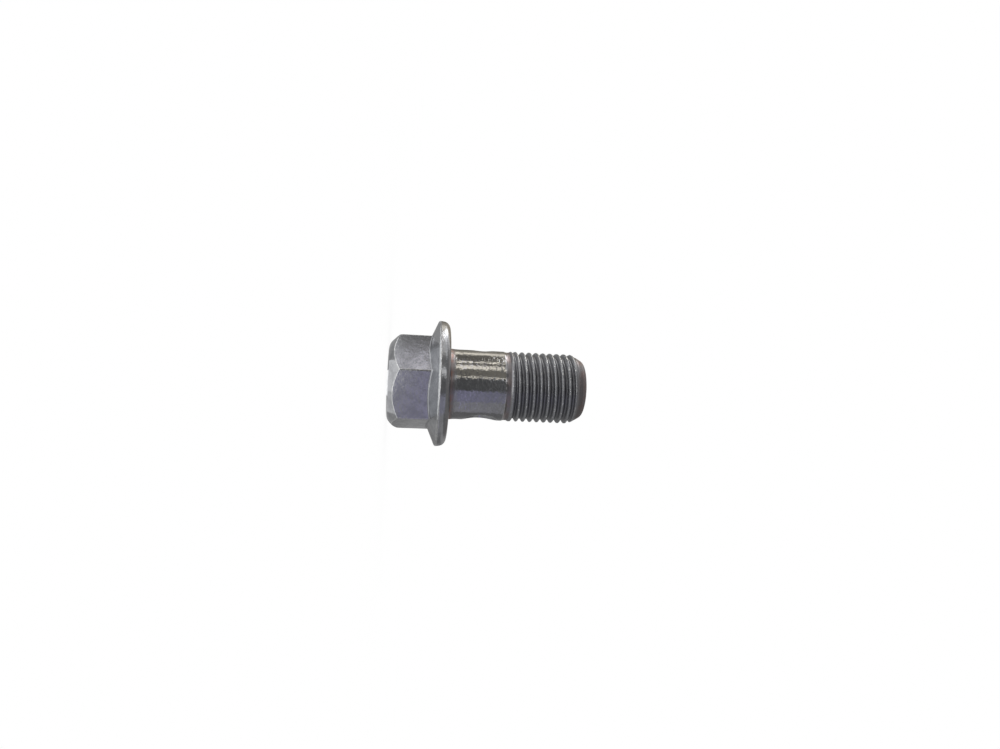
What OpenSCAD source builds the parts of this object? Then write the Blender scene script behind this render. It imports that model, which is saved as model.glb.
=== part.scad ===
// Banjo bolt, M10 x 1.0: a hollow flanged hex bolt that clamps a banjo union and feeds fluid through it.
// Z = 0 is the bearing face under the flange, +Z runs along the bolt to its tip, and the head points down.

/* [Head] */
// Wrench size across the hex flats
across_flats = 12; // [10:0.5:14]
// Height of the head from the bearing face to its flat end
head_h = 8.3; // [7.5:0.1:10]
// Turn of the hex flats away from the cross hole, in degrees
hex_turn = -6.5; // [-30:0.5:30]
// Diameter of the flat on the end of the head
end_flat_d = 9.1; // [8.4:0.1:9.8]
// Slope of the crown where it cuts the hex corners, in degrees from the axis
crown_slope = 45; // [40:1:50]
// How far in from the hex corners the crown's slope meets the end of the head
crown_cut = 1.7; // [1.3:0.1:1.9]

/* [Flange] */
// Outside diameter of the flange
flange_d = 17.6; // [16.5:0.1:20]
// Height of the upper edge of the rim above the bearing face
rim_h = 1.5; // [1.3:0.05:2]
// Radius of the rounded lower corner of the rim
rim_r = 1.2; // [0.4:0.05:1.3]
// Radius that breaks the upper edge of the rim
rim_edge_r = 0.12; // [0.05:0.01:0.3]
// Slope of the upper face of the flange, in degrees from level
flange_slope = 23.5; // [15:0.5:30]

/* [Shank and thread] */
// Length from the bearing face to the tip
bolt_l = 19.2; // [19:0.1:26]
// Diameter of the plain shank
shank_d = 9.8; // [9.6:0.05:9.85]
// Length of the plain shank
shank_l = 8; // [7.5:0.1:9]
// Radius of the fillet under the flange
seat_fillet_r = 0.4; // [0.2:0.05:0.6]
// Diameter over the thread crests
thread_d = 9.9; // [9.85:0.01:9.97]
// Axial length of the run-out between the shank and the first full crest
runout_l = 0.6; // [0.6:0.1:1]
// Slope of the lead-in at the tip, in degrees from the axis
lead_slope = 30; // [25:1:35]
// Axial length of the lead-in
lead_l = 1.85; // [1.5:0.05:2.2]
// Radius that softens the start of the lead-in
lead_r = 1.5; // [0.5:0.1:2]
// Radius that rounds the end of the tip
tip_r = 0.9; // [0.2:0.05:1.2]

/* [Fluid passages] */
// Diameter of the axial bore
bore_d = 4.4; // [3.5:0.1:5]
// Height above the bearing face where the full bore stops
bore_floor_z = 2.2; // [1.8:0.1:2.6]
// Included angle of the drill point at the blind end
drill_point = 118; // [90:1:140]
// Width of the chamfer around the mouth of the bore
mouth_chamfer = 0.3; // [0.1:0.05:0.5]
// Diameter of the cross hole
cross_d = 3.2; // [2.5:0.1:3.4]
// Height of the cross hole above the bearing face
cross_z = 4.7; // [4.6:0.1:5]
// Diameter of the countersink where it meets the shank
sink_d = 5; // [4:0.1:5.4]

/* [Hidden] */
$fn = 96;
hex_sides = 6;
half_turn = 180;
square_corner = 90;
cut_over = 1;
flange_rad = flange_d / 2;
shank_rad = shank_d / 2;
thread_rad = thread_d / 2;
hex_corner_rad = across_flats / 2 / cos(half_turn / hex_sides);
flange_peak_z = -rim_h - flange_rad * tan(flange_slope);
runout_end_z = shank_l + runout_l;
lead_start_z = bolt_l - lead_l;
tip_end_rad = thread_rad - lead_l * tan(lead_slope);
// The crown is one arc, tangent to the flat end and to the slope that cuts the hex corners
crown_turn = square_corner - crown_slope;
crown_edge_rad = hex_corner_rad - crown_cut;
crown_r = (crown_edge_rad - end_flat_d / 2) / tan(crown_turn / 2);
crown_top_rad = crown_edge_rad + (head_h - rim_h) * tan(crown_slope);

// Corner rounding: the distance from a corner to where an arc of radius r touches its two sides
function toward(p, q) = (q - p) / norm(q - p);
function half_angle(a, p, b) = acos(toward(p, a) * toward(p, b)) / 2;
function touch(a, p, b, r) = r / tan(half_angle(a, p, b));
function centre(a, p, b, r) = p + toward([0, 0], toward(p, a) + toward(p, b)) * r / sin(half_angle(a, p, b));
function touching(a, p, b, r) = [p + toward(p, a) * touch(a, p, b, r), p + toward(p, b) * touch(a, p, b, r)];
function turns_left(a, p, b) = cross(p - a, b - p) > 0;
function before(pts, i) = pts[(i + len(pts) - 1) % len(pts)];
function after(pts, i) = pts[(i + 1) % len(pts)];

// The slice of a disc between its centre and the arc that rounds the corner p
module corner_slice(a, p, b, r) {
    ends = touching(a, p, b, r);
    intersection() {
        translate(centre(a, p, b, r)) circle(r);
        polygon([centre(a, p, b, r), ends[0], p, ends[1]]);
    }
}

// A closed outline, listed anticlockwise, whose corners are rounded by the radii beside them
module rounded_outline(pts, radii) {
    rounded = [for (i = [0 : len(pts) - 1]) if (radii[i] > 0) i];
    difference() {
        union() {
            polygon([for (i = [0 : len(pts) - 1])
                each radii[i] > 0 ? touching(before(pts, i), pts[i], after(pts, i), radii[i]) : [pts[i]]]);
            for (i = rounded) if (turns_left(before(pts, i), pts[i], after(pts, i)))
                corner_slice(before(pts, i), pts[i], after(pts, i), radii[i]);
        }
        for (i = rounded) if (!turns_left(before(pts, i), pts[i], after(pts, i)))
            corner_slice(before(pts, i), pts[i], after(pts, i), radii[i]);
    }
}

// Hex head: a prism whose corners and end are shaped by the turned crown
module hex_head() {
    intersection() {
        rotate([0, 0, hex_turn + half_turn / hex_sides]) translate([0, 0, -head_h])
            cylinder(r = hex_corner_rad, h = head_h - rim_h, $fn = hex_sides);
        rotate_extrude() rounded_outline(
            [[0, -head_h], [crown_edge_rad, -head_h], [crown_top_rad, -rim_h], [0, -rim_h]],
            [0, crown_r, 0, 0]);
    }
}

// Flange, shank, thread envelope and tip, turned as one profile
module turned_body() {
    rotate_extrude() rounded_outline(
        [[0, flange_peak_z], [flange_rad, -rim_h], [flange_rad, 0], [shank_rad, 0], [shank_rad, shank_l],
            [thread_rad, runout_end_z], [thread_rad, lead_start_z], [tip_end_rad, bolt_l], [0, bolt_l]],
        [0, rim_edge_r, rim_r, seat_fillet_r, 0, 0, lead_r, tip_r, 0]);
}

// Axial bore, blind with a drill point, and chamfered at the mouth
module axial_bore() {
    bore_rad = bore_d / 2;
    point_h = bore_rad / tan(drill_point / 2);
    translate([0, 0, bore_floor_z]) cylinder(r = bore_rad, h = bolt_l - bore_floor_z + cut_over);
    translate([0, 0, bore_floor_z - point_h]) cylinder(r1 = 0, r2 = bore_rad, h = point_h);
    translate([0, 0, bolt_l - mouth_chamfer])
        cylinder(r1 = bore_rad, r2 = bore_rad + mouth_chamfer + cut_over, h = mouth_chamfer + cut_over);
}

// Cross hole through both walls of the shank, with a square countersink where the drill went in
module cross_hole() {
    cross_rad = cross_d / 2;
    sink_depth = (sink_d - cross_d) / 2;
    translate([0, 0, cross_z]) {
        rotate([0, 90, 0]) cylinder(r = cross_rad, h = shank_d + cut_over, center = true);
        rotate([0, 90, 0]) translate([0, 0, shank_rad - sink_depth])
            cylinder(r1 = cross_rad, r2 = cross_rad + sink_depth + cut_over, h = sink_depth + cut_over);
    }
}

module banjo_bolt() {
    color("silver") difference() {
        union() {
            hex_head();
            turned_body();
        }
        axial_bore();
        cross_hole();
    }
}

banjo_bolt();
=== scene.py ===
# %% [markdown]
# # A zinc-plated banjo bolt
# A banjo bolt is a hollow screw. Fluid enters through the hole across its shank, from the ring-shaped
# fitting that the bolt clamps, and leaves through the bore in its tip. This one has an M10 x 1.0 thread
# and a hex head with a flange, and it was headed, thread-rolled, drilled and then zinc plated.
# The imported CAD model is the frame: +Z runs to the tip, and height zero is the flange's bearing face.

import math

import bmesh
import bpy
import numpy as np
from mathutils import Matrix, Vector


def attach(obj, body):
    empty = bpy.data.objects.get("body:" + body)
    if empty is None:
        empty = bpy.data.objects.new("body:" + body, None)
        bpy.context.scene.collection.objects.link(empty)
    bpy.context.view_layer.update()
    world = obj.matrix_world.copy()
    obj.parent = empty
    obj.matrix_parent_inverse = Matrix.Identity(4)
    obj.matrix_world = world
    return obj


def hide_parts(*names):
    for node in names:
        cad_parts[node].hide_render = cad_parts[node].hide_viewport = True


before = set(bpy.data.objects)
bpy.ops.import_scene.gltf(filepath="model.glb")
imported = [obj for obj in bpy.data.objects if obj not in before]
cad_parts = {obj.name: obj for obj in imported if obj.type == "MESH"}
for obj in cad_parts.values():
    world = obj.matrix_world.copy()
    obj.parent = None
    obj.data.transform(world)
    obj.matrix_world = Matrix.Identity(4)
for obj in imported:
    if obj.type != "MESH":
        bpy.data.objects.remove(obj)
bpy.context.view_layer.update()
MM = 0.001

# %% [markdown]
# # The camera
# The photograph shows the bolt from its side, and a little from below the flange, so the camera stands
# beside the head, just above the floor. It is rolled until the bolt's tip points right in the picture.
# The lens and the place were solved from the bolt's own outline, so nothing here is moved by eye.
# The view transform is Standard, so a colour in the picture is the colour that the light gives.

# %% Place the camera
CAMERA_AT = Vector((13.5845, -100.8319, -5.5137)) * MM
CAMERA_RIGHT = Vector((-0.026423, -0.131243, 0.990998))
CAMERA_UP = Vector((-0.988583, -0.143681, -0.045387))
LENS_MM = 25.99
SENSOR_MM = 36

camera_data = bpy.data.cameras.new("camera")
camera_data.lens, camera_data.sensor_width = LENS_MM, SENSOR_MM
camera_data.clip_start = MM
camera = bpy.data.objects.new("camera", camera_data)
bpy.context.scene.collection.objects.link(camera)
turn = Matrix((CAMERA_RIGHT, CAMERA_UP, CAMERA_RIGHT.cross(CAMERA_UP))).transposed()
camera.matrix_world = Matrix.Translation(CAMERA_AT) @ turn.to_4x4()
bpy.context.scene.camera = camera
bpy.context.scene.view_settings.view_transform = "Standard"
print("camera is", round(CAMERA_AT.length / MM, 1), "mm from the bearing face")

# %% [markdown]
# # The bolt's sizes
# The main sizes are the CAD model's, in millimetres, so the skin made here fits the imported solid. The
# lean of the rim, the swell of the shank, the neck and the small radii are what forging, rolling and
# plating leave on a real bolt. They catch the light, so they are modelled, and not left to the shader.

# %% Name the sizes
HEAD_Z, HEX_FLAT_R, END_FLAT_R = -8.3, 6.0, 4.55
CROWN_EDGE_R, CROWN_TURN = 5.2282, math.radians(45)
HEX_TURN = math.radians(-6.5)
FLANGE_R, RIM_Z, RIM_EDGE, FLANGE_SLOPE = 8.8, -1.5, 0.3, math.radians(23.5)
RIM_LEAN, RIM_ROUND = math.radians(7.5), 1.0
SHANK_R, SHANK_Z, SEAT_FILLET, SEAT_SWELL, SWELL_Z = 4.9, 8.0, 0.4, 0.12, 1.5
THREAD_R, RUNOUT_Z, PITCH, THREAD_DEPTH, NECK_DEPTH = 4.95, 8.8, 1.0, 0.47, 0.1
LEAD_Z, LEAD_SLOPE, TIP_Z, TIP_ROUND = 17.35, math.radians(30), 19.2, 0.9
BORE_R, BORE_FLOOR_Z, DRILL_HALF_ANGLE, MOUTH = 2.2, 2.2, math.radians(59), 0.3
CROSS_R, CROSS_Z, SINK_R = 1.6, 4.7, 2.5
HEX_CORNER_ROUND, HEX_BULGE, CROWN_EDGE_ROUND, HEX_FOOT_FILLET = 0.35, 0.08, 0.17, 0.28
print("bolt is", round(TIP_Z - HEAD_Z, 1), "mm long")

# %% [markdown]
# # A profile for every direction
# A turned part needs one profile, spun about its axis. The hex head is not turned, so here every
# direction round the bolt gets its own profile, with the same number of points. Neighbouring profiles
# are then joined by quads, and the edge between crown and flat falls exactly on a row of vertices.
# Two helpers draw the profiles: one rounds a corner, and one fills a straight run. The straight run puts
# a point close to each end, which keeps the shading of the flat clear of the rounding beside it.

# %% Profile helpers
HOLD = 0.03


def rounding(a, corner, b, radius, steps):
    """Points of the arc that rounds a corner, from the side of a to the side of b."""
    a, corner, b = (np.array(p, float) for p in (a, corner, b))
    to_a, to_b = (v / np.linalg.norm(v) for v in (a - corner, b - corner))
    half = math.acos(np.clip(to_a @ to_b, -1, 1)) / 2
    middle = corner + (to_a + to_b) / np.linalg.norm(to_a + to_b) * radius / math.sin(half)
    start, end = corner + to_a * radius / math.tan(half), corner + to_b * radius / math.tan(half)
    u, v = (start - middle) / radius, (end - middle) / radius
    sweep = math.pi - 2 * half
    return [
        tuple(middle + radius * (u * math.sin(sweep * (1 - t)) + v * math.sin(sweep * t)) / math.sin(sweep))
        for t in np.linspace(0, 1, steps)
    ]


def straight(a, b, steps):
    """Points between a and b, without the two ends: one close to each end, and the rest evenly spaced."""
    a, b = np.array(a, float), np.array(b, float)
    hold = HOLD / np.linalg.norm(b - a)
    return [tuple(a + (b - a) * t) for t in (hold, *np.linspace(0, 1, steps + 2)[1:-1], 1 - hold)]


print("a right angle rounded in 3 points:", np.round(rounding((1, 0), (0, 0), (0, 1), 0.5, 3), 3).tolist())

# %% [markdown]
# # Directions round the hex
# The forging die leaves the hex corners rounded and the flats very slightly full, so a flat shows a soft
# gradient instead of a mirror's single tone. Five columns of vertices go round each half corner, and the
# rest are spaced along the flat. The shank has evenly spaced columns, so the flange blends the two.

# %% Columns of the head
COLUMNS, SIDES = 192, 6
PER_SIDE, ROUND_STEPS = COLUMNS // SIDES, 5
CORNER_COLUMN = 13


def hex_side():
    """One side of the hex from corner to corner, as (x, y) points with x pointing out of the flat."""
    apothem = HEX_FLAT_R - HEX_BULGE
    middle = (apothem - HEX_CORNER_ROUND) * np.array((1, math.tan(math.pi / SIDES)))
    half_flat = middle[1]
    half_corner = [
        middle + HEX_CORNER_ROUND * np.array((math.cos(t), math.sin(t)))
        for t in np.linspace(0, math.pi / SIDES, ROUND_STEPS + 1)[1:]
    ]
    flat = [
        np.array((HEX_FLAT_R - HEX_BULGE * (y / half_flat) ** 2, y))
        for y in np.linspace(-half_flat, half_flat, PER_SIDE - 2 * ROUND_STEPS + 1)
    ]
    return [p * (1, -1) for p in half_corner[::-1]] + flat + half_corner


side = hex_side()[:-1]
hex_radius = np.tile([np.hypot(*p) for p in side], SIDES)
hex_angle = np.concatenate(
    [[math.atan2(p[1], p[0]) + HEX_TURN + k * math.tau / SIDES for p in side] for k in range(SIDES)]
)
even_angle = math.tau * np.arange(COLUMNS) / COLUMNS
start = PER_SIDE - CORNER_COLUMN
hex_radius, hex_angle = np.roll(hex_radius, -start), np.roll(hex_angle, -start)
hex_angle = even_angle + (hex_angle - even_angle + math.pi) % math.tau - math.pi
most_off = math.degrees(np.abs(hex_angle - even_angle).max())
print("head columns are at most", round(most_off, 2), "degrees off")

# %% [markdown]
# # From the end of the head to the shank
# This is the main form: a flat end, the crown that a turned die gives the hex, the six flats, the
# sloping flange with its rounded rim, the bearing face that squeezes the sealing washer, and the shank.

# %% Head, flange and shank profile
CROWN_R = (CROWN_EDGE_R - END_FLAT_R) / math.tan(CROWN_TURN / 2)
CROWN_ARC_R = END_FLAT_R + CROWN_R * math.sin(CROWN_TURN)
END_POINTS, CROWN_POINTS, EDGE_POINTS, FLAT_POINTS, FOOT_POINTS = 2, 12, 5, 5, 6
RIM_POINTS, SIDE_POINTS, LOWER_POINTS, FACE_POINTS, SEAT_POINTS, SWELL_POINTS = 4, 1, 12, 4, 6, 10
WINDOW_ROWS = 40
WINDOW_Z = (1.8, 7.6)
BAND_LOW_Z, BAND_HIGH_Z = 7.7, 18.6


def crown_z(r):
    """Height of the crown's surface at radius r, and its slope there."""
    turned = min(r, CROWN_ARC_R) - END_FLAT_R
    beyond = max(r - CROWN_ARC_R, 0) * math.tan(CROWN_TURN)
    z = HEAD_Z + CROWN_R - math.sqrt(CROWN_R**2 - turned**2) + beyond
    return z, math.asin(turned / CROWN_R)


def head_profile(flat_r):
    """(radius, height) points from the middle of the end face to the foot of the hex."""
    edge_z, slope = crown_z(flat_r)
    before = (flat_r - math.cos(slope), edge_z - math.sin(slope))
    foot_z = RIM_Z - (FLANGE_R - flat_r) * math.tan(FLANGE_SLOPE)
    edge = rounding(before, (flat_r, edge_z), (flat_r, 0), CROWN_EDGE_ROUND, EDGE_POINTS)
    foot = rounding((flat_r, HEAD_Z), (flat_r, foot_z), (FLANGE_R, RIM_Z), HEX_FOOT_FILLET, FOOT_POINTS)
    crown = [(r, crown_z(r)[0]) for r in np.linspace(END_FLAT_R, edge[0][0], CROWN_POINTS)[:-1]]
    end = [(0, HEAD_Z)] + straight((0, HEAD_Z), (END_FLAT_R, HEAD_Z), END_POINTS)
    return end + crown + edge + straight(edge[-1], foot[0], FLAT_POINTS) + foot


def shank_r(z):
    """Radius of the shank at height z: it swells a little towards the fillet under the flange."""
    return SHANK_R + SEAT_SWELL * max(0, 1 - z / SWELL_Z) ** 2


def flange_profile():
    """(radius, height) points of the rim, the bearing face and the shank, up to the first thread."""
    rim_top, rim_foot = (FLANGE_R, RIM_Z), (FLANGE_R + RIM_Z * math.tan(RIM_LEAN), 0)
    inside = (FLANGE_R - 1, RIM_Z - math.tan(FLANGE_SLOPE))
    edge = rounding(inside, rim_top, rim_foot, RIM_EDGE, RIM_POINTS)
    lower = rounding(rim_top, rim_foot, (SHANK_R, 0), RIM_ROUND, LOWER_POINTS)
    foot_r = shank_r(SEAT_FILLET)
    seat = rounding(rim_foot, (foot_r, 0), (foot_r, SHANK_Z), SEAT_FILLET, SEAT_POINTS)
    swell = [(shank_r(z), z) for z in np.linspace(SEAT_FILLET, SWELL_Z, SWELL_POINTS)[1:]]
    window = [(SHANK_R, z) for z in np.linspace(*WINDOW_Z, WINDOW_ROWS + 1)]
    rim = edge + straight(edge[-1], lower[0], SIDE_POINTS) + lower
    face = straight(lower[-1], seat[0], FACE_POINTS)
    return rim + face + seat + swell + window + [(SHANK_R, BAND_LOW_Z)]


head = np.array([head_profile(r) for r in hex_radius])
flange = np.array(flange_profile())
print(head.shape[1], "points from the head's middle to the hex foot, then", len(flange), "to the thread")

# %% Spin the profiles into rows of points
CONE_ROWS, CONE_HOLD = 7, 0.02


def ring(radius, z, angle):
    """One closed row of points in millimetres."""
    return np.stack([radius * np.cos(angle), radius * np.sin(angle), z + 0 * angle], 1)


rows = [ring(head[:, k, 0], head[:, k, 1], hex_angle) for k in range(head.shape[1])]
for t in (CONE_HOLD, *np.linspace(0, 1, CONE_ROWS + 2)[1:-1], 1 - CONE_HOLD):
    blend = t * t * (3 - 2 * t)
    radius = head[:, -1, 0] * (1 - t) + flange[0][0] * t
    height = head[:, -1, 1] * (1 - t) + flange[0][1] * t
    rows.append(ring(radius, height, hex_angle * (1 - blend) + even_angle * blend))
rows += [ring(r, z, even_angle) for r, z in flange]
skin_top_row = len(rows) - 1
window_rows = (skin_top_row - 1 - WINDOW_ROWS, skin_top_row - 1)
print(len(rows), "rows of", COLUMNS, "points make the head, flange and shank")

# %% [markdown]
# # The tip and the bore
# The tip is turned to a cone so the bolt starts easily in its hole, and its end is rounded. The bore is
# drilled down the axis, so it is blind and ends in the cone that a twist drill leaves. The cross hole
# takes up more of the narrow bore's turn than of the shank's, so the bore's columns are wider apart there.

# %% Tip and bore profile
WINDOW_COLUMNS = 40
BORE_WINDOW_ANGLE = math.radians(54)
BORE_WINDOW_REACH = 1.9
BORE_WINDOW_Z = (CROSS_Z - BORE_WINDOW_REACH, CROSS_Z + BORE_WINDOW_REACH)
MOUTH_BREAK, FLOOR_ROUND = 0.06, 0.08
TIP_POINTS, LEAD_POINTS, END_FACE_POINTS, BREAK_POINTS, BORE_POINTS, DRILL_POINTS = 9, 1, 3, 3, 6, 3


def bore_angles():
    """Angles of the bore's columns, closer together outside the two windows of the cross hole."""
    half = WINDOW_COLUMNS // 2
    between = COLUMNS // 2 - WINDOW_COLUMNS
    gap = np.linspace(BORE_WINDOW_ANGLE, math.pi - BORE_WINDOW_ANGLE, between + 1)
    first = np.linspace(0, BORE_WINDOW_ANGLE, half + 1)
    last = np.linspace(math.pi - BORE_WINDOW_ANGLE, math.pi, half + 1)
    half_turn = np.concatenate([first[:-1], gap[:-1], last[:-1]])
    return np.concatenate([half_turn, half_turn + math.pi])


tip_end_r = THREAD_R - (TIP_Z - LEAD_Z) * math.tan(LEAD_SLOPE)
band_top_r = THREAD_R - (BAND_HIGH_Z - LEAD_Z) * math.tan(LEAD_SLOPE)
mouth_r = BORE_R + MOUTH
tip_round = rounding((THREAD_R, LEAD_Z), (tip_end_r, TIP_Z), (0, TIP_Z), TIP_ROUND, TIP_POINTS)
tip = [(band_top_r, BAND_HIGH_Z)] + straight((band_top_r, BAND_HIGH_Z), tip_round[0], LEAD_POINTS)
mouth_top, mouth_low = (mouth_r, TIP_Z), (BORE_R, TIP_Z - MOUTH)
mouth_edge = rounding((tip_end_r, TIP_Z), mouth_top, mouth_low, MOUTH_BREAK, BREAK_POINTS)
tip += tip_round + straight(tip_round[-1], mouth_edge[0], END_FACE_POINTS)
mouth_foot = rounding(mouth_top, mouth_low, (BORE_R, 0), MOUTH_BREAK, BREAK_POINTS)
bore = mouth_edge + mouth_foot + straight(mouth_foot[-1], (BORE_R, BORE_WINDOW_Z[1]), BORE_POINTS)
bore_window_first = len(bore)
bore += [(BORE_R, z) for z in np.linspace(*BORE_WINDOW_Z[::-1], WINDOW_ROWS + 1)]
point_z = BORE_FLOOR_Z - BORE_R / math.tan(DRILL_HALF_ANGLE)
floor_corner = rounding((BORE_R, TIP_Z), (BORE_R, BORE_FLOOR_Z), (0, point_z), FLOOR_ROUND, BREAK_POINTS)
bore += floor_corner + straight(floor_corner[-1], (0, point_z), DRILL_POINTS) + [(0, point_z)]

rows += [ring(r, z, even_angle) for r, z in tip]
bore_window_first += len(rows)
rows += [ring(r, z, bore_angles()) for r, z in bore]
bore_window_rows = (bore_window_first, bore_window_first + WINDOW_ROWS)
print("bore window rows", [round(float(rows[r][0, 2]), 2) for r in bore_window_rows], "mm high")

# %% [markdown]
# # The cross hole
# Each end of the cross hole is a patch in polar form: its columns run from a window left in the shank's
# grid, over the rounded rim and down the countersink, along the drilled wall, and round the last edge
# into a window in the bore's grid. A boolean cut would be shorter to write, but it leaves razor edges and
# long thin faces, and a polished shank shows both. Along one column the outline is flat, so the same
# rounding helper draws every edge.

# %% Cross-hole patches
RIM_BREAK, THROAT_BREAK, INNER_BREAK = 0.12, 0.1, 0.12
BESIDE, SEARCH_BESIDE, HALVINGS = 0.2, 0.1, 40
SINK_FLOOR_X = SHANK_R - (SINK_R - CROSS_R)
SINK_RIM_POINTS, SINK_POINTS, THROAT_POINTS, PLAIN_POINTS, INNER_POINTS = 5, 1, 4, 6, 4
APPROACH_POINTS, WALL_POINTS, LEAVING_POINTS = 7, 4, 5


def window_border(middle_column):
    """(steps up, column) pairs round a window of the grid, anticlockwise seen from outside."""
    half, top = WINDOW_COLUMNS // 2, WINDOW_ROWS
    left, right = middle_column - half, middle_column + half
    border = [(step, right) for step in range(top)] + [(top, c) for c in range(right, left, -1)]
    border += [(step, left) for step in range(top, 0, -1)] + [(0, c) for c in range(left, right)]
    return [(step, c % COLUMNS) for step, c in border]


def cylinder_x(radius, off, angle):
    """How far out along the hole's axis a cylinder of this radius lies, at this distance off the axis."""
    return math.sqrt(max(radius**2 - (off * math.cos(angle)) ** 2, 0))


def sink_rim(angle):
    """Distance off the hole's axis at which the countersink meets the shank."""
    low, high = CROSS_R, SINK_R + SEARCH_BESIDE
    for _ in range(HALVINGS):
        middle = (low + high) / 2
        inside = SINK_FLOOR_X + middle - CROSS_R < cylinder_x(SHANK_R, middle, angle)
        low, high = (middle, high) if inside else (low, middle)
    return low


def sunk_edge(angle):
    """(distance off the axis, distance along it) points over the rim and down the countersink."""
    rim = sink_rim(angle)
    rim_point, floor_point = (rim, cylinder_x(SHANK_R, rim, angle)), (CROSS_R, SINK_FLOOR_X)
    beside = (rim + BESIDE, cylinder_x(SHANK_R, rim + BESIDE, angle))
    edge = rounding(beside, rim_point, floor_point, RIM_BREAK, SINK_RIM_POINTS)
    throat = rounding(rim_point, floor_point, (CROSS_R, 0), THROAT_BREAK, THROAT_POINTS)
    return edge + straight(edge[-1], throat[0], SINK_POINTS) + throat


def plain_edge(angle):
    """The same points where the drill came out and the edge is only broken."""
    beside = (CROSS_R + BESIDE, cylinder_x(SHANK_R, CROSS_R + BESIDE, angle))
    corner = (CROSS_R, cylinder_x(SHANK_R, CROSS_R, angle))
    return rounding(beside, corner, (CROSS_R, 0), RIM_BREAK, PLAIN_POINTS)


def hole_column(edge_points, outer_off, outer_angle, inner_off, inner_angle):
    """(distance off the axis, distance along it, angle) from the shank's window to the bore's."""
    edge = edge_points(outer_angle)
    mouth_point = (CROSS_R, cylinder_x(BORE_R, CROSS_R, inner_angle))
    past = (CROSS_R + BESIDE, cylinder_x(BORE_R, CROSS_R + BESIDE, inner_angle))
    mouth = rounding((CROSS_R, SHANK_R), mouth_point, past, INNER_BREAK, INNER_POINTS)
    offs = np.linspace(outer_off, edge[0][0], APPROACH_POINTS)[1:-1]
    column = [(off, cylinder_x(SHANK_R, off, outer_angle), outer_angle) for off in offs]
    column += [(*p, outer_angle) for p in edge]
    wall = straight(edge[-1], mouth[0], WALL_POINTS)
    turned = np.linspace(outer_angle, inner_angle, len(wall) + 2)[1:-1]
    column += [(*p, a) for p, a in zip(wall, turned)] + [(*p, inner_angle) for p in mouth]
    offs = np.linspace(mouth[-1][0], inner_off, LEAVING_POINTS)[1:-1]
    return column + [(off, cylinder_x(BORE_R, off, inner_angle), inner_angle) for off in offs]


def hole_patch(middle_column, facing, edge_points):
    """Rings of points from the shank's window to the bore's; facing is 1 towards +X and -1 towards -X."""
    columns = []
    for step, column in window_border(middle_column):
        ends = []
        for point in (rows[window_rows[0] + step][column], rows[bore_window_rows[1] - step][column]):
            across, along = point[1] * facing, point[2] - CROSS_Z
            ends.append((math.hypot(across, along), math.atan2(along, across)))
        (outer_off, outer_angle), (inner_off, inner_angle) = ends
        inner_angle += math.tau * round((outer_angle - inner_angle) / math.tau)
        path = hole_column(edge_points, outer_off, outer_angle, inner_off, inner_angle)
        columns.append(
            [(x * facing, off * math.cos(a) * facing, CROSS_Z + off * math.sin(a)) for off, x, a in path]
        )
    return np.array(columns).transpose(1, 0, 2)


patches = {0: hole_patch(0, 1, sunk_edge), COLUMNS // 2: hole_patch(COLUMNS // 2, -1, plain_edge)}
across, along = (round(sink_rim(angle), 2) for angle in (0, math.pi / 2))
print("countersink rim is", across, "mm off axis across the shank and", along, "along it")

# %% [markdown]
# # One skin
# The patches share the points on the borders of the windows. The thread is joined by position, so its
# ends must meet the rows exactly. The faces are listed row by row, and the cells under the thread and
# inside the windows are left out.

# %% Join the rows and patches
points = [tuple(p) for row in rows for p in row]
faces = []


def in_window(row, column):
    """True where a cell of the grid lies inside a window of the cross hole."""
    half = WINDOW_COLUMNS // 2
    near = (column + half) % (COLUMNS // 2) < WINDOW_COLUMNS
    return near and any(low <= row < high for low, high in (window_rows, bore_window_rows))


for row in range(len(rows) - 1):
    if row == skin_top_row:
        continue
    for column in range(COLUMNS):
        if not in_window(row, column):
            a, b = row * COLUMNS + column, row * COLUMNS + (column + 1) % COLUMNS
            faces.append((a, b, b + COLUMNS, a + COLUMNS))

for middle_column, rings in patches.items():
    border = window_border(middle_column)
    outer = [(window_rows[0] + step) * COLUMNS + column for step, column in border]
    inner = [(bore_window_rows[1] - step) * COLUMNS + column for step, column in border]
    loops = [outer]
    for patch_ring in rings:
        loops.append(list(range(len(points), len(points) + len(border))))
        points += [tuple(p) for p in patch_ring]
    loops.append(inner)
    for near, far in zip(loops, loops[1:]):
        for k in range(len(border)):
            after = (k + 1) % len(border)
            faces.append((near[k], near[after], far[after], far[k]))

skin = bpy.data.meshes.new("skin")
skin.from_pydata([tuple(c * MM for c in p) for p in points], [], faces)
print(len(points), "points and", len(faces), "faces before the thread is added")

# %% [markdown]
# # The thread, by Geometry Nodes
# A rolled thread follows one rule: its depth depends only on how far a point lies from the crest. So a
# flat grid is bent round the axis by Geometry Nodes, and each point's radius comes from that rule. The
# grid's rows climb with the helix, so crests and roots fall on rows and stay crisp, and the rows that
# climb past either end are pressed flat against it. The tree works in metres, and its inputs are named.

# %% Helpers for node trees


def put(tree, kind, *values, **settings):
    """Adds a node. Each value is a socket to link from or a plain setting, in the order of the inputs."""
    node = tree.nodes.new(kind)
    for name, value in settings.items():
        setattr(node, name, value)
    for socket, value in zip(node.inputs, values):
        if isinstance(value, bpy.types.NodeSocket):
            tree.links.new(value, socket)
        elif value is not None:
            socket.default_value = value
    return node


def maths(tree, operation, *values, clamp=False):
    """Adds a Math node and returns its result."""
    return put(tree, "ShaderNodeMath", *values, operation=operation, use_clamp=clamp).outputs[0]


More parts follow.
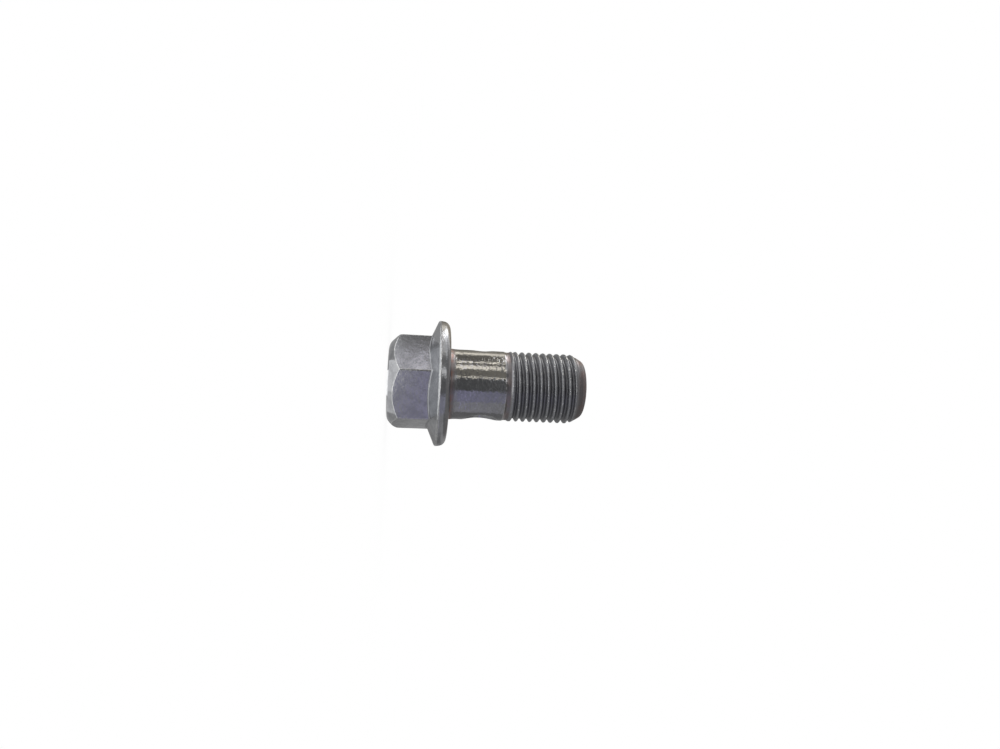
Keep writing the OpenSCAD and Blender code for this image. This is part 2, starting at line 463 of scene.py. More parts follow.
def new_tree(name, kind, inputs, outputs):
    """A node group with named sockets. Inputs are (name, socket type, value), outputs (name, type)."""
    tree = bpy.data.node_groups.new(name, kind)
    for label, socket_type, value in inputs:
        socket = tree.interface.new_socket(label, in_out="INPUT", socket_type=socket_type)
        if value is not None:
            socket.default_value = value
    for label, socket_type in outputs:
        tree.interface.new_socket(label, in_out="OUTPUT", socket_type=socket_type)
    return tree, tree.nodes.new("NodeGroupInput"), tree.nodes.new("NodeGroupOutput")


print("node helpers are ready")

# %% The thread's tree
CREST_AT_ZERO_Z = 8.866
ROWS_PER_PITCH, TURNS, GRID_SIZE, HALF_PITCH = 14, 13, 1.0, 0.5
LEAD_SOFTNESS = 0.3
CREST_HALF_WIDTH, FLANK_ANGLE = 0.1, math.radians(30)
NECK_FLOOR_Z, RUNOUT_START_Z = 8.1, 8.4
LENGTH = "NodeSocketFloat"
thread_inputs = [
    ("Pitch", LENGTH, PITCH * MM),
    ("First crest", LENGTH, CREST_AT_ZERO_Z * MM),
    ("Major radius", LENGTH, THREAD_R * MM),
    ("Shank radius", LENGTH, SHANK_R * MM),
    ("Thread depth", LENGTH, THREAD_DEPTH * MM),
    ("Crest half width", LENGTH, CREST_HALF_WIDTH * MM),
    ("Flank angle", LENGTH, FLANK_ANGLE),
    ("Neck depth", LENGTH, NECK_DEPTH * MM),
    ("Neck start", LENGTH, BAND_LOW_Z * MM),
    ("Neck floor", LENGTH, NECK_FLOOR_Z * MM),
    ("Run-out start", LENGTH, RUNOUT_START_Z * MM),
    ("Run-out end", LENGTH, RUNOUT_Z * MM),
    ("Lead-in start", LENGTH, LEAD_Z * MM),
    ("Lead-in slope", LENGTH, LEAD_SLOPE),
    ("Lead-in softness", LENGTH, LEAD_SOFTNESS * MM),
    ("Low end", LENGTH, BAND_LOW_Z * MM),
    ("High end", LENGTH, BAND_HIGH_Z * MM),
    ("Turns", "NodeSocketInt", TURNS),
    ("Rows per turn", "NodeSocketInt", ROWS_PER_PITCH),
    ("Columns", "NodeSocketInt", COLUMNS),
    ("Metal", "NodeSocketMaterial", None),
]
thread_tree, given, result = new_tree(
    "rolled_thread", "GeometryNodeTree", thread_inputs, [("Thread", "NodeSocketGeometry")]
)
size = given.outputs
step_count = maths(thread_tree, "MULTIPLY", size["Turns"], size["Rows per turn"])
grid = put(
    thread_tree,
    "GeometryNodeMeshGrid",
    GRID_SIZE,
    GRID_SIZE,
    maths(thread_tree, "ADD", size["Columns"], 1.0),
    maths(thread_tree, "ADD", step_count, 1.0),
).outputs["Mesh"]
place = put(
    thread_tree, "ShaderNodeSeparateXYZ", put(thread_tree, "GeometryNodeInputPosition").outputs[0]
).outputs
turned = maths(thread_tree, "ADD", place["X"], GRID_SIZE / 2)
share_up = maths(thread_tree, "ADD", place["Y"], GRID_SIZE / 2)
climbed = maths(thread_tree, "MULTIPLY", share_up, size["Turns"])

START_BEFORE_CREST = 3.0
helix_turns = maths(thread_tree, "SUBTRACT", maths(thread_tree, "ADD", climbed, turned), START_BEFORE_CREST)
raw_z = maths(thread_tree, "MULTIPLY_ADD", helix_turns, size["Pitch"], size["First crest"])
z = maths(thread_tree, "MINIMUM", maths(thread_tree, "MAXIMUM", raw_z, size["Low end"]), size["High end"])

climb = maths(thread_tree, "DIVIDE", maths(thread_tree, "SUBTRACT", z, size["First crest"]), size["Pitch"])
phase = maths(thread_tree, "SUBTRACT", climb, turned)
from_crest = maths(thread_tree, "PINGPONG", phase, HALF_PITCH)
flank_run = maths(
    thread_tree,
    "SUBTRACT",
    maths(thread_tree, "MULTIPLY", from_crest, size["Pitch"]),
    size["Crest half width"],
)
flank_drop = maths(thread_tree, "DIVIDE", flank_run, maths(thread_tree, "TANGENT", size["Flank angle"]))
ROOT_SOFTNESS, CREST_SOFTNESS = 0.24 * MM, 0.2 * MM
rooted = maths(thread_tree, "SMOOTH_MIN", flank_drop, size["Thread depth"], ROOT_SOFTNESS)
drop = maths(thread_tree, "SMOOTH_MAX", rooted, 0.0, CREST_SOFTNESS)

FADE_LENGTH, FADE_SOFTNESS = 0.5 * MM, 0.2
fade_run = maths(thread_tree, "SUBTRACT", z, size["Run-out end"])
fade = maths(thread_tree, "DIVIDE", fade_run, FADE_LENGTH, clamp=True)
fade = maths(thread_tree, "SMOOTH_MIN", fade, 1.0, FADE_SOFTNESS)
grooved = maths(thread_tree, "SUBTRACT", size["Major radius"], maths(thread_tree, "MULTIPLY", drop, fade))


def eased(tree, value, low, high, to_low, to_high):
    """A smooth step from to_low to to_high while the value goes from low to high."""
    kind = {"interpolation_type": "SMOOTHSTEP"}
    return put(tree, "ShaderNodeMapRange", value, low, high, to_low, to_high, **kind).outputs[0]


dip = eased(thread_tree, z, size["Neck start"], size["Neck floor"], 0.0, size["Neck depth"])
neck_r = maths(thread_tree, "SUBTRACT", size["Shank radius"], dip)
blank = eased(thread_tree, z, size["Run-out start"], size["Run-out end"], neck_r, size["Major radius"])
lead_drop = maths(
    thread_tree,
    "MULTIPLY",
    maths(thread_tree, "SUBTRACT", z, size["Lead-in start"]),
    maths(thread_tree, "TANGENT", size["Lead-in slope"]),
)
lead_drop = maths(thread_tree, "SMOOTH_MAX", lead_drop, 0.0, size["Lead-in softness"])
turned_r = maths(thread_tree, "SUBTRACT", blank, lead_drop)
MEETING_SOFTNESS = 0.04 * MM
radius = maths(thread_tree, "SMOOTH_MIN", turned_r, grooved, MEETING_SOFTNESS)

angle = maths(thread_tree, "MULTIPLY", turned, math.tau)
bent = put(
    thread_tree,
    "ShaderNodeCombineXYZ",
    maths(thread_tree, "MULTIPLY", radius, maths(thread_tree, "COSINE", angle)),
    maths(thread_tree, "MULTIPLY", radius, maths(thread_tree, "SINE", angle)),
    z,
).outputs[0]
MERGE = 0.002 * MM
bent_grid = put(thread_tree, "GeometryNodeSetPosition", grid, True, bent).outputs[0]
closed = put(thread_tree, "GeometryNodeMergeByDistance")
thread_tree.links.new(bent_grid, closed.inputs["Geometry"])
closed.inputs["Distance"].default_value = MERGE
real = put(thread_tree, "GeometryNodeRealizeInstances", closed.outputs[0]).outputs[0]
finished = put(thread_tree, "GeometryNodeSetMaterial", real, True, size["Metal"]).outputs[0]
thread_tree.links.new(finished, result.inputs["Thread"])
print("the thread's tree has", len(thread_tree.nodes), "nodes")

# %% Roll the thread
ZINC_PLATE = bpy.data.materials.new("zinc_plate_on_steel")


def by_geometry_nodes(name, tree, settings):
    """Runs a Geometry Nodes tree and returns its result as a plain mesh."""
    carrier = bpy.data.objects.new(name, bpy.data.meshes.new(name))
    bpy.context.scene.collection.objects.link(carrier)
    modifier = carrier.modifiers.new(name, "NODES")
    modifier.node_group = tree
    for label, value in settings.items():
        modifier[tree.interface.items_tree[label].identifier] = value
    made = bpy.data.meshes.new_from_object(carrier.evaluated_get(bpy.context.evaluated_depsgraph_get()))
    bpy.data.objects.remove(carrier)
    return made


thread = by_geometry_nodes("thread_band", thread_tree, {"Metal": ZINC_PLATE})
print("thread has", len(thread.polygons), "faces")

# %% Join skin and thread
joined = bmesh.new()
joined.from_mesh(skin)
joined.from_mesh(thread)
bmesh.ops.remove_doubles(joined, verts=joined.verts, dist=MERGE)
unused = [vertex for vertex in joined.verts if not vertex.link_edges]
bmesh.ops.delete(joined, geom=unused, context="VERTS")
open_edges = sum(not edge.is_manifold for edge in joined.edges)
bmesh.ops.recalc_face_normals(joined, faces=joined.faces)
volume = joined.calc_volume(signed=True) / MM**3
bolt_mesh = bpy.data.meshes.new("plated_bolt")
joined.to_mesh(bolt_mesh)
joined.free()
bolt_mesh.shade_smooth()
bolt = bpy.data.objects.new("plated_bolt", bolt_mesh)
bpy.context.scene.collection.objects.link(bolt)
bolt_mesh.materials.clear()
bolt_mesh.materials.append(ZINC_PLATE)
for face in bolt_mesh.polygons:
    face.material_index = 0
triangles = sum(len(face.vertices) - 2 for face in bolt_mesh.polygons)
print("open edges:", open_edges, "volume:", round(volume, 1), "mm3, triangles:", triangles)
print("points left under the thread and the windows, now removed:", len(unused))
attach(bolt, "root")
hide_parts("banjo_bolt")

# %% [markdown]
# # Where wear, painted highlights and painted shade go
# Tumbling and handling polish the edges that stand proud, these edges also get a painted highlight, and
# corners get painted shade.
# Both follow the curvature, so it is measured once on the mesh and stored as attributes that the
# material reads. For each edge, the neighbour's height above the tangent plane gives the curvature.

# %% Measure the curvature
count = len(bolt_mesh.vertices)
spots = np.empty(count * 3)
bolt_mesh.vertices.foreach_get("co", spots)
spots = spots.reshape(-1, 3) / MM
normals = np.array([tuple(v.normal) for v in bolt_mesh.vertices])
pairs = np.array([tuple(e.vertices) for e in bolt_mesh.edges])
first, second = pairs.T
reach = spots[second] - spots[first]
length2 = (reach**2).sum(1)


def around(first_values, second_values):
    """Sums values given at both ends of every edge onto the vertices."""
    return np.bincount(first, first_values, count) + np.bincount(second, second_values, count)


SMOOTHINGS = 2
degree = around(np.ones(len(first)), np.ones(len(first)))
bend = around(
    -2 * (normals[first] * reach).sum(1) / length2, 2 * (normals[second] * reach).sum(1) / length2
) / degree
for _ in range(SMOOTHINGS):
    bend = 0.5 * bend + 0.5 * around(bend[second], bend[first]) / degree


def store(name, values):
    """Keeps one number for each vertex, for the material to read."""
    attribute = bolt_mesh.attributes.new(name, "FLOAT", "POINT")
    attribute.data.foreach_set("value", np.ascontiguousarray(values, np.float32))
    print(name, "mean", round(float(values.mean()), 3), "most", round(float(values.max()), 3))


SHARP_FROM, SHARP_RANGE = 0.5, 3.0
HOLLOW_FROM, HOLLOW_RANGE = 0.3, 2.0
OUTSIDE_R = 4.0
off_axis = np.hypot(spots[:, 0], spots[:, 1])
on_thread = (spots[:, 2] > SHANK_Z) & (spots[:, 2] < BAND_HIGH_Z) & (off_axis > OUTSIDE_R)
# The hollow and groove masks carry painted shade, and proud_edge carries wear and a painted highlight.
store("proud_edge", np.clip((bend - SHARP_FROM) / SHARP_RANGE, 0, 1))
store("hollow", np.clip((-bend - HOLLOW_FROM) / HOLLOW_RANGE, 0, 1))
store("groove", np.where(on_thread, np.clip((THREAD_R - off_axis) / THREAD_DEPTH, 0, 1), 0))

# %% [markdown]
# # The zinc plate
# Bright zinc is a thin metal skin with a faint blue cast. It follows the steel under it, so forged flats
# look satin and the turned shank looks glossy, and tiny bumps break every highlight into grains.

# %% Node groups of the plating
FLOAT, VECTOR = "NodeSocketFloat", "NodeSocketVector"
SEED_DIRECTION = (1.0, 1.7, 0.6)


def connect(tree, node, settings):
    """Links or sets a node's inputs, which are given by name or by number."""
    for label, value in settings.items():
        if isinstance(value, bpy.types.NodeSocket):
            tree.links.new(value, node.inputs[label])
        else:
            node.inputs[label].default_value = value


def noise(tree, vector, scale, detail, rough, seed):
    """A noise texture whose offset comes from the seed, so each use differs, and repeats in every run."""
    offset = tuple(seed * part for part in SEED_DIRECTION)
    shifted = put(tree, "ShaderNodeVectorMath", vector, offset, operation="ADD")
    node = put(tree, "ShaderNodeTexNoise", noise_dimensions="3D")
    settings = {"Vector": shifted.outputs[0], "Scale": scale, "Detail": detail, "Roughness": rough}
    connect(tree, node, settings)
    return node.outputs["Fac"]


MIX_INPUTS, MIX_RESULT = (0, 6, 7), 2


def blend_colour(tree, amount, a, b):
    """A Mix Color node. Its colour sockets come after those for numbers and vectors."""
    node = tree.nodes.new("ShaderNodeMix")
    node.data_type = "RGBA"
    connect(tree, node, dict(zip(MIX_INPUTS, (amount, a, b))))
    return node.outputs[MIX_RESULT]


grain, grain_in, grain_out = new_tree(
    "plating_grain",
    "ShaderNodeTree",
    [("Place", VECTOR, None), ("Orange peel", FLOAT, 1.0), ("Fine grain", FLOAT, 0.32)],
    [("Height", FLOAT), ("Mottle", FLOAT), ("Speckle", FLOAT)],
)
PEEL_SCALE, GRAIN_SCALE, MOTTLE_SCALE, SPECKLE_SCALE = 2400.0, 6000.0, 900.0, 3500.0
PEEL_SEED, GRAIN_SEED, MOTTLE_SEED, SPECKLE_SEED = 0.011, 0.023, 0.005, 0.037
SMOOTH, CLOUDY = (1.0, 0.5), (4.0, 0.6)
peel = noise(grain, grain_in.outputs["Place"], PEEL_SCALE, *SMOOTH, PEEL_SEED)
fine = noise(grain, grain_in.outputs["Place"], GRAIN_SCALE, *SMOOTH, GRAIN_SEED)
height = maths(
    grain,
    "MULTIPLY_ADD",
    fine,
    grain_in.outputs["Fine grain"],
    maths(grain, "MULTIPLY", peel, grain_in.outputs["Orange peel"]),
)
mottle = noise(grain, grain_in.outputs["Place"], MOTTLE_SCALE, *CLOUDY, MOTTLE_SEED)
speckle = noise(grain, grain_in.outputs["Place"], SPECKLE_SCALE, *SMOOTH, SPECKLE_SEED)
grain.links.new(height, grain_out.inputs["Height"])
grain.links.new(mottle, grain_out.inputs["Mottle"])
grain.links.new(speckle, grain_out.inputs["Speckle"])
print("grain group has", len(grain.nodes), "nodes")

# %% [markdown]
# # Places on the bolt
# The finish isn't the same everywhere. The head is more satin than the shank, the thread is duller, a brown
# stain gathers at the seat, in the neck and at the tip, and painted shade darkens the neck and the fillet
# under the flange. Each place is a smooth mask drawn from the height and the distance off the axis, so its
# limits can be read in millimetres.

# %% Where the plating differs
ZINC_PLATE.use_nodes = True
zinc = ZINC_PLATE.node_tree
metal = zinc.nodes["Principled BSDF"]
metal.inputs["Metallic"].default_value = 1.0
place = put(zinc, "ShaderNodeTexCoord").outputs["Object"]
x, y, z = put(zinc, "ShaderNodeSeparateXYZ", place).outputs
WHOLE, FADE_IN, FADE_OUT = (0.0, 1.0), (0.0, 1.0), (1.0, 0.0)
HEAD_FADE_Z, FACE_FADE_Z, THREAD_FADE_Z, TIP_FADE_Z = (-1.7, -1.3), (-0.3, 0.3), (7.6, 8.3), (17.4, 18.8)
NECK_Z, NECK_REACH = 8.15, (0.25, 0.5)
FILLET_Z, FILLET_REACH, FILLET_FADE_R = 0.35, (0.25, 0.55), (5.3, 5.7)
SEAT_Z, SEAT_REACH, SEAT_FADE_R, SEAT_OUTER = 0.1, (0.05, 0.8), (5.2, 6.2), 0.3
FACE_Z, FACE_REACH, FACE_FADE_R = 0.0, (0.05, 0.2), (7.6, 8.2)


def stored(name):
    """Reads one of the attributes stored on the mesh."""
    return put(zinc, "ShaderNodeAttribute", attribute_name=name).outputs["Fac"]


def times(a, b):
    """Two of the material's values multiplied."""
    return maths(zinc, "MULTIPLY", a, b)


def larger(a, b):
    """The larger of two of the material's values."""
    return maths(zinc, "MAXIMUM", a, b)


def ramp(value, limits, ends):
    """A smooth step between two ends, while the value goes from one limit to the other."""
    return eased(zinc, value, *limits, *ends)


def mm_ramp(length, limits, ends):
    """The same for a length, with the limits in millimetres."""
    return ramp(length, [limit * MM for limit in limits], ends)


def near_height(height, reach, ends):
    """A ramp that follows the distance along the axis from a height in millimetres."""
    return mm_ramp(maths(zinc, "ABSOLUTE", maths(zinc, "SUBTRACT", z, height * MM)), reach, ends)


proud, hollow, groove = (stored(name) for name in ("proud_edge", "hollow", "groove"))
from_axis = maths(zinc, "SQRT", maths(zinc, "MULTIPLY_ADD", x, x, times(y, y)))
on_head = mm_ramp(z, HEAD_FADE_Z, FADE_OUT)
threaded = mm_ramp(z, THREAD_FADE_Z, FADE_IN)
near_tip = mm_ramp(z, TIP_FADE_Z, FADE_IN)
# The neck and fillet masks carry painted shade in these corners, and the neck mask also carries a stain.
in_neck = near_height(NECK_Z, NECK_REACH, FADE_OUT)
in_fillet = near_height(FILLET_Z, FILLET_REACH, FADE_OUT)
in_fillet = times(in_fillet, mm_ramp(from_axis, FILLET_FADE_R, FADE_OUT))
near_seat = near_height(SEAT_Z, SEAT_REACH, FADE_OUT)
near_seat = times(near_seat, mm_ramp(from_axis, SEAT_FADE_R, (1.0, SEAT_OUTER)))
on_face = times(near_height(FACE_Z, FACE_REACH, FADE_OUT), mm_ramp(from_axis, FACE_FADE_R, FADE_OUT))
print(len(zinc.nodes), "nodes tell the head, shank, neck, thread and tip apart")

# %% [markdown]
# # Wear, soot, stain and painted light
# Each layer is mixed over the one before it. First come painted shade in the neck and the fillet and soot
# on the thread.
# Next come the edges that are rubbed bright, which is partly wear and partly a painted highlight, with
# painted glint specks on them.
# Then comes painted shade in grooves and hollows, and the stain comes last. Noise breaks the wear and the
# stain into patches.

# %% Colour of the plating
# SOOT_AND_SHADE is soot on the thread, and it is also the painted shade in corners, grooves and hollows.
# WORN_AND_HIGHLIGHT is the lighter colour of edges, partly wear and partly painted highlight.
ZINC, ZINC_DULL, WORN_AND_HIGHLIGHT = (0.44, 0.445, 0.46, 1), (0.36, 0.365, 0.38, 1), (0.80, 0.80, 0.79, 1)
SOOT_AND_SHADE, STAIN = (0.16, 0.16, 0.17, 1), (0.34, 0.19, 0.15, 1)
HEAD_PEEL, SPECKLE_MEAN, SPECKLE_SHARE, PATCHES, HEAD_DULLEST = 0.65, 0.5, 0.35, (0.35, 0.65), 0.25
THREAD_BRIGHT, THREAD_WEAR_AND_HIGHLIGHT, LEAD_WEAR = 0.1, 0.02, 0.25
WEAR_PATCHES, WEAR_LEAST, SPARK_PATCHES = (0.35, 0.6), 0.35, (0.575, 0.615)
LEAD_BAND_Z, LEAD_BAND_REACH = 18.15, (0.2, 0.6)
# CORNER_SHADE, GROOVE_SHADE and HOLLOW_SHADE are shares of painted shade, and THREAD_SOOT is soot on the
# thread.
CORNER_SHADE, THREAD_SOOT, GROOVE_LIMITS, GROOVE_SHADE, HOLLOW_SHADE = 0.5, 0.1, (0.3, 1.0), 0.7, 0.35
TIP_STAIN, NECK_STAIN, STAIN_PATCHES, STAIN_RANGE = 0.5, 0.3, (0.4, 0.62), (0.3, 0.95)

plate = put(zinc, "ShaderNodeGroup", node_tree=grain)
peel_amount = mm_ramp(z, FACE_FADE_Z, (HEAD_PEEL, 1.0))
connect(zinc, plate, {"Place": place, "Orange peel": peel_amount})
mottle, speckle = plate.outputs["Mottle"], plate.outputs["Speckle"]
patchy = maths(zinc, "MULTIPLY_ADD", maths(zinc, "SUBTRACT", speckle, SPECKLE_MEAN), SPECKLE_SHARE, mottle)
bright = ramp(patchy, PATCHES, (ramp(on_head, WHOLE, (HEAD_DULLEST, 0.0)), 1.0))
bright = times(bright, ramp(threaded, WHOLE, (1.0, THREAD_BRIGHT)))
# Edges that stand proud are painted lighter, partly as wear and partly as a painted highlight, and the
# sparks are painted glints on them.
rubbed_and_highlit = times(proud, ramp(threaded, WHOLE, (1.0, THREAD_WEAR_AND_HIGHLIGHT)))
glint_specks = times(proud, ramp(speckle, SPARK_PATCHES, FADE_IN))
wear_and_highlight = larger(times(rubbed_and_highlit, ramp(speckle, WEAR_PATCHES, (WEAR_LEAST, 1.0))), glint_specks)
wear_and_highlight = larger(wear_and_highlight, near_height(LEAD_BAND_Z, LEAD_BAND_REACH, (LEAD_WEAR, 0.0)))
stain_place = larger(larger(near_seat, times(near_tip, TIP_STAIN)), times(in_neck, NECK_STAIN))
stained = times(stain_place, ramp(mottle, STAIN_PATCHES, STAIN_RANGE))
# The first layer is painted shade in the neck and fillet, and the fourth and fifth are painted shade in
# grooves and hollows.
layers = [
    (times(larger(in_neck, in_fillet), CORNER_SHADE), SOOT_AND_SHADE),
    (times(threaded, THREAD_SOOT), SOOT_AND_SHADE),
    (wear_and_highlight, WORN_AND_HIGHLIGHT),
    (ramp(groove, GROOVE_LIMITS, (0.0, GROOVE_SHADE)), SOOT_AND_SHADE),
    (times(hollow, HOLLOW_SHADE), SOOT_AND_SHADE),
    (stained, STAIN),
]
colour = blend_colour(zinc, bright, ZINC_DULL, ZINC)
for amount, tint in layers:
    colour = blend_colour(zinc, amount, colour, tint)
zinc.links.new(colour, metal.inputs["Base Color"])
print(len(layers), "layers of wear, dirt and stain lie on the bare zinc")

# %% [markdown]
# # How sharply it mirrors
# Roughness follows the same places as the colour. The bumps are the fine grain of the plating, and small
# burrs on the edges that stand proud.

# %% Roughness and bumps
HEAD_ROUGH, SHANK_ROUGH, THREAD_ROUGH, TIP_ROUGH = 0.2, 0.1, 0.26, 0.08
ROUGH_PATCHES, PATCH_ROUGH = (0.3, 0.7), 0.03
FACE_ROUGH, STAIN_ROUGH, FILLET_ROUGH, SPARK_ROUGH = 0.2, 0.15, 0.2, -0.28
BUMP_HEIGHT, BURR_PATCHES, BURR_SHARE = 0.021 * MM, (0.55, 0.63), 1.5

rough = mm_ramp(z, FACE_FADE_Z, (HEAD_ROUGH, SHANK_ROUGH))
rough = maths(zinc, "ADD", rough, ramp(threaded, WHOLE, (0.0, THREAD_ROUGH)))
rough = maths(zinc, "ADD", rough, ramp(near_tip, WHOLE, (0.0, TIP_ROUGH)))
rough = maths(zinc, "ADD", rough, ramp(mottle, ROUGH_PATCHES, (PATCH_ROUGH, -PATCH_ROUGH)))
shares = [
    (on_face, FACE_ROUGH),
    (stained, STAIN_ROUGH),
    (in_fillet, FILLET_ROUGH),
    (times(glint_specks, threaded), SPARK_ROUGH),
]
for amount, share in shares:
    rough = maths(zinc, "MULTIPLY_ADD", amount, share, rough)
zinc.links.new(rough, metal.inputs["Roughness"])
burrs = times(proud, ramp(speckle, BURR_PATCHES, (0.0, BURR_SHARE)))
height = maths(zinc, "ADD", plate.outputs["Height"], burrs)
bump = put(zinc, "ShaderNodeBump")
connect(zinc, bump, {"Strength": 1.0, "Distance": BUMP_HEIGHT, "Height": height})
zinc.links.new(bump.outputs[0], metal.inputs["Normal"])
print("zinc material has", len(zinc.nodes), "nodes")

# %% [markdown]
# # The studio
# The floor and the world are white for the camera and for reflections. The floor glows, and the small
# matte share of it takes a faint shade from the bolt. Polished metal has hardly any colour of its own: it
# shows the room. So grey and white cards stand round the bolt, as a photographer would put them, and give
# its skin dark and bright bands. They are hidden from the camera.

# %% Floor and world
FLOOR_HALF, FLOOR_GLOW = 2.0, 0.92
floor_corners = [
    (across * FLOOR_HALF, along * FLOOR_HALF, HEAD_Z * MM)
    for across, along in ((-1, -1), (1, -1), (1, 1), (-1, 1))
]
floor_mesh = bpy.data.meshes.new("floor")
floor_mesh.from_pydata(floor_corners, [], [(0, 1, 2, 3)])
floor = bpy.data.objects.new("floor", floor_mesh)
bpy.context.scene.collection.objects.link(floor)


def seen_directly(tree):
    """1 for rays that show the background: camera, glossy and transmission rays."""
    path = put(tree, "ShaderNodeLightPath").outputs
    some = maths(tree, "MAXIMUM", path["Is Camera Ray"], path["Is Glossy Ray"])
    return maths(tree, "MAXIMUM", some, path["Is Transmission Ray"])


def new_material(name):
    """An empty node material and its output."""
    material = bpy.data.materials.new(name)
    material.use_nodes = True
    material.node_tree.nodes.clear()
    return material, material.node_tree, material.node_tree.nodes.new("ShaderNodeOutputMaterial")


paper, tree, output = new_material("white_paper")
white = put(tree, "ShaderNodeEmission", (1, 1, 1, 1), 1.0).outputs[0]
matte = put(tree, "ShaderNodeBsdfDiffuse", (1, 1, 1, 1)).outputs[0]
share = maths(tree, "MULTIPLY", seen_directly(tree), FLOOR_GLOW)
mixed = put(tree, "ShaderNodeMixShader", share, matte, white).outputs[0]
tree.links.new(mixed, output.inputs[0])
floor_mesh.materials.append(paper)

world = bpy.data.worlds.new("studio")
bpy.context.scene.world = world
world.use_nodes = True
world.node_tree.nodes["Background"].inputs["Color"].default_value = (1, 1, 1, 1)
world.node_tree.nodes["Background"].inputs["Strength"].default_value = 1.0
print("floor at", HEAD_Z, "mm")

# %% [markdown]
# # Reflection cards
# The standing cards lie on one wide sphere, in bands one above the other, and each is told by its
# azimuths and elevations in degrees. The hex flats mirror the lowest band and the shank the next, and the
# higher ones show in the thread and the tip. Narrow bright strips give the streaks along the shank, and
# wide greys give the calm tones between them. The crown and the flange's slope face down, so they mirror
# the cards that lie in rings on the floor.

# %% Reflection cards
CARD_DISTANCE = 300 * MM
FACET_ACROSS, FACET_UP, FLOOR_FACET = 3, 5, 5


def glowing(name, tone):
    """A plain emission material."""
    material, tree, output = new_material(name)
    tree.links.new(put(tree, "ShaderNodeEmission", (*tone, 1), 1.0).outputs[0], output.inputs[0])
    return material


def card(name, corners, faces, tone):
    """Adds a card that only reflections show."""
    mesh = bpy.data.meshes.new(name)
    mesh.from_pydata(corners, [], faces)
    mesh.materials.append(glowing(name, tone))
    piece = bpy.data.objects.new(name, mesh)
    bpy.context.scene.collection.objects.link(piece)
    piece.visible_camera = piece.visible_diffuse = piece.visible_shadow = False


def curved_card(name, azimuths, elevations, tone):
    """A card bent round the bolt, between two azimuths and two elevations."""
    across = max(2, round(abs(azimuths[1] - azimuths[0]) / FACET_ACROSS) + 1)
    up = max(2, round(abs(elevations[1] - elevations[0]) / FACET_UP) + 1)
    around = np.radians(np.linspace(*azimuths, across))
    corners = [
        tuple(CARD_DISTANCE * np.array((math.cos(a) * math.cos(e), math.sin(a) * math.cos(e), math.sin(e))))
        for e in np.radians(np.linspace(*elevations, up))
        for a in around
    ]
    cells = [r * across + c for r in range(up - 1) for c in range(across - 1)]
    card(name, corners, [(k, k + 1, k + across + 1, k + across) for k in cells], tone)


WARM_GREEN, WARM_BLUE = 0.93, 0.79


def grey(level):
    """A grey of this level."""
    return (level, level, level)


def warm(level):
    """The same grey under lamp light."""
    return (level, WARM_GREEN * level, WARM_BLUE * level)


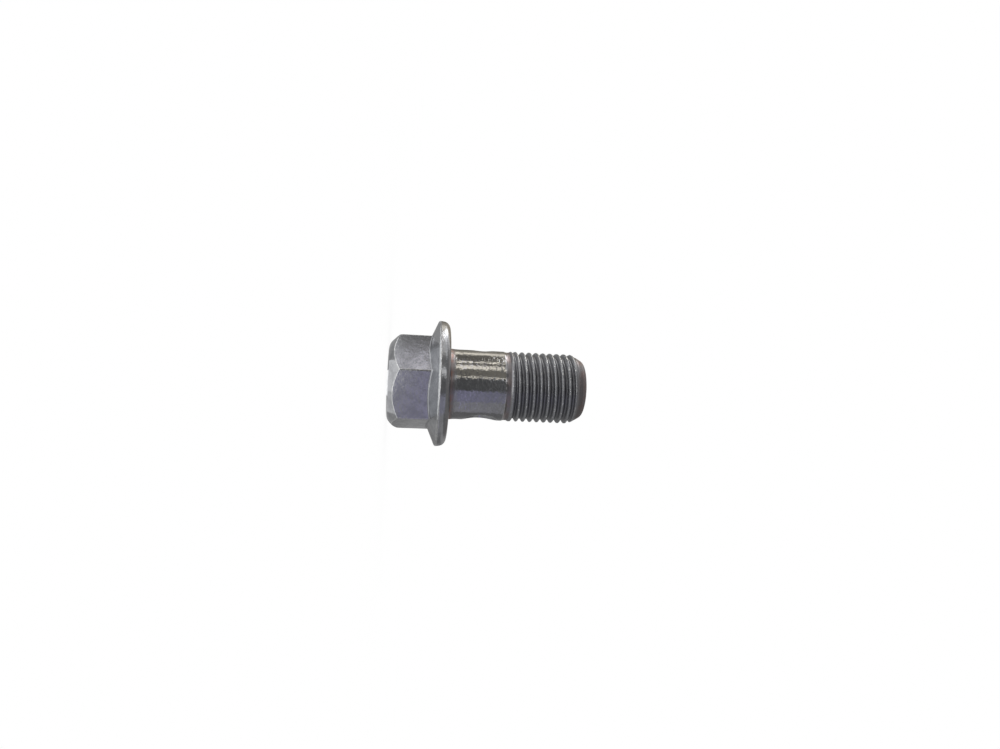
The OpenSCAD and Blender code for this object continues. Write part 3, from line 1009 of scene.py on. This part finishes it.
SOLE, LOW, FOOT, MIDDLE, HIGH = (-2, 2.6), (2.6, 9.5), (9.5, 11.5), (11.5, 45), (45, 89)
side_cards = [
    ("sole_back", (48, 165), SOLE, grey(0.375)),
    ("sole_dark", (165, 187), SOLE, grey(0.14)),
    ("sole_light", (187, 226), SOLE, (1.25, 1.22, 1.34)),
    ("sole_black", (226, 296), SOLE, grey(0.12)),
    ("sole_blue", (296, 375), SOLE, (0.45, 0.43, 0.64)),
    ("sole_under", (375, 408), SOLE, grey(0.33)),
    ("back_grey", (98, 120), LOW, warm(0.17)),
    ("back_mid", (120, 130), LOW, warm(0.24)),
    ("back_light", (130, 147), LOW, warm(0.42)),
    ("back_white", (147, 157.5), LOW, warm(1.45)),
    ("back_soft", (157.5, 163), LOW, warm(0.95)),
    ("upper_dark", (163, 190), LOW, warm(0.21)),
    ("upper_mid", (190, 196), LOW, warm(0.15)),
    ("upper_strip", (196, 200), LOW, warm(2.0)),
    ("upper_grey", (200, 212), LOW, warm(0.22)),
    ("warm_white", (212, 226), LOW, warm(1.5)),
    ("front_grey", (226, 251.5), LOW, warm(0.27)),
    ("front_strip", (251.5, 255), LOW, warm(1.6)),
    ("front_black", (255, 297), LOW, grey(0.12)),
    ("blue_grey", (297, 335), LOW, (0.29, 0.285, 0.38)),
    ("soft_grey", (335, 380), LOW, (0.36, 0.355, 0.38)),
    ("under_dark", (380, 420), LOW, grey(0.2)),
    ("under_back", (420, 458), LOW, grey(0.25)),
    ("foot_back", (98, 150), FOOT, warm(0.36)),
    ("foot_key", (150, 190), FOOT, warm(1.2)),
    ("foot_left", (190, 250), FOOT, warm(0.3)),
    ("foot_right", (250, 458), FOOT, grey(0.25)),
    ("middle_back", (98, 140), MIDDLE, warm(0.4)),
    ("key_side", (140, 150), MIDDLE, warm(1.0)),
    ("key_low_side", (150, 163), (11.5, 15), grey(1.3)),
    ("key_low", (163, 190), (11.5, 15), grey(4.5)),
    ("key", (150, 173), (15, 32), grey(3.2)),
    ("key_left", (173, 190), (15, 32), grey(1.4)),
    ("key_top", (150, 170), (32, 55), grey(1.2)),
    ("key_top_left", (170, 190), (32, 55), grey(0.5)),
    ("middle_left", (190, 222), MIDDLE, grey(0.8)),
    ("middle_dark", (222, 250), MIDDLE, grey(0.22)),
    ("middle_strip", (250, 262), MIDDLE, grey(1.1)),
    ("middle_front", (262, 300), MIDDLE, grey(0.15)),
    ("middle_right", (300, 335), MIDDLE, (0.36, 0.36, 0.44)),
    ("middle_under", (335, 458), (11.5, 28), grey(0.38)),
    ("lead_under", (335, 458), (28, 45), grey(0.2)),
    ("high_side", (98, 150), HIGH, grey(0.42)),
    ("high_back", (150, 190), (55, 89), grey(0.36)),
    ("high_front", (190, 458), HIGH, grey(0.24)),
]
for name, azimuths, elevations, tone in side_cards:
    curved_card(name, azimuths, elevations, tone)

FLOOR_CARD_Z, CARD_STEP = HEAD_Z + 0.01, 0.002


def floor_card(name, radii, azimuths, tone, layer):
    """A card that lies on the floor, between two distances from the bolt's axis and two azimuths."""
    around = np.radians(np.linspace(*azimuths, round((azimuths[1] - azimuths[0]) / FLOOR_FACET) + 1))
    height = (FLOOR_CARD_Z + layer * CARD_STEP) * MM
    corners = [(r * MM * math.cos(a), r * MM * math.sin(a), height) for r in radii for a in around]
    steps = len(around)
    card(name, corners, [(k, k + 1, steps + k + 1, steps + k) for k in range(steps - 1)], tone)


floor_cards = [
    ("glint", (4.6, 5.15), (-100, -60), grey(1.7)),
    ("foot", (4.6, 5.15), (-60, 210), grey(0.62)),
    ("foot_side", (4.6, 5.15), (210, 260), grey(0.47)),
    ("near_left", (5.15, 7.5), (-115, -68), grey(1.05)),
    ("near_front", (5.15, 7.5), (-68, -30), grey(0.8)),
    ("near_right", (5.15, 7.5), (-30, 12), grey(0.42)),
    ("near_under", (5.15, 7.5), (12, 45), grey(0.27)),
    ("near_back", (5.15, 7.5), (45, 245), grey(0.46)),
    ("bright_front", (7.5, 16.0), (-165, -30), (0.98, 1.0, 1.02)),
    ("rim_light", (8.2, 9.4), (-165, -65), grey(1.7)),
    ("grey_right", (7.5, 16.0), (-30, 35), grey(0.42)),
    ("grey_under", (7.5, 16.0), (35, 115), grey(0.37)),
    ("grey_back", (7.5, 16.0), (115, 195), grey(0.42)),
    ("far", (16.0, 290.0), (115, 400), grey(0.36)),
    ("far_under", (16.0, 290.0), (40, 115), grey(0.27)),
    ("edge_front", (18.0, 30.0), (-150, -58), grey(1.6)),
    ("edge_side", (16.0, 26.0), (-190, -150), grey(1.5)),
]
for layer, (name, radii, azimuths, tone) in enumerate(floor_cards):
    floor_card(name, radii, azimuths, tone, layer)
print(len(side_cards), "standing cards and", len(floor_cards), "on the floor")
